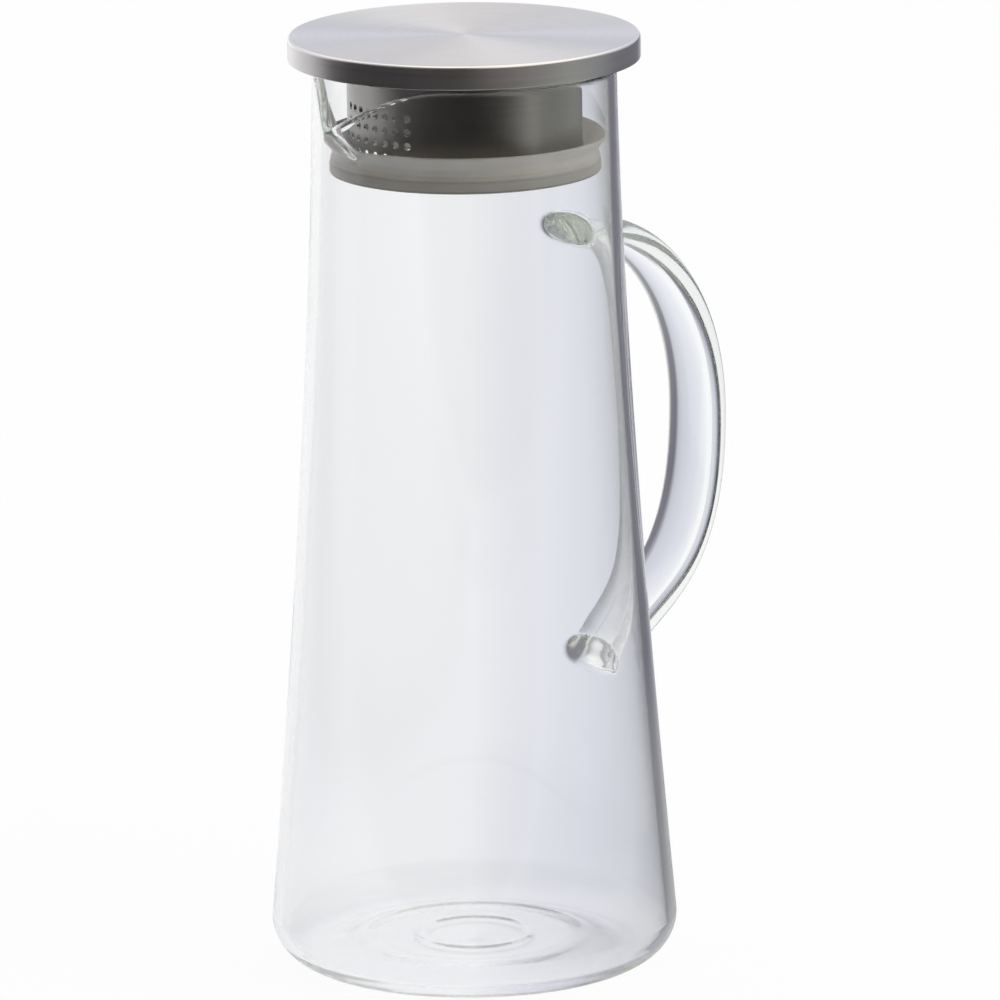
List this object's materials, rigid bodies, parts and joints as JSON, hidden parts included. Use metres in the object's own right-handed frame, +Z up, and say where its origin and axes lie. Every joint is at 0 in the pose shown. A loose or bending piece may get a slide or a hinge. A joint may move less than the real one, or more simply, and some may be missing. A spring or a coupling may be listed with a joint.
{
  "type": "glass pitcher with lid",
  "caption": "Tall tapered glass pitcher with a pulled spout and strap handle, closed by a round steel lid with a strainer drum and silicone seal.",
  "frame": {"origin": "middle of the standing ring, on the plane that the pitcher stands on", "axes": "+Z up along the pitcher's axis, +X towards the handle, -X towards the spout"},
  "size_m": [0.1404, 0.1052, 0.2428],
  "materials": {
    "glass": "clear, fire-polished",
    "cap_steel": "circular brushed",
    "drum_steel": "brushed",
    "silicone": "translucent satin"
  },
  "bodies": {
    "pitcher": {"glass_body": "glass", "glass_handle": "glass"},
    "seal": {"seal_ring": "silicone"},
    "lid": {"lid_cap": "cap_steel", "lid_liner": "cap_steel", "strainer_drum": "drum_steel"}
  },
  "joints": [
    {"name": "lid_lift", "type": "slide", "parent": "pitcher", "child": "seal", "axis": [0, 0, 1], "range_m": [0, 0.06]},
    {"name": "lid_turn", "type": "hinge", "parent": "seal", "child": "lid", "pos_m": [0, 0, 0.237], "axis": [0, 0, 1], "continuous": true}
  ]
}
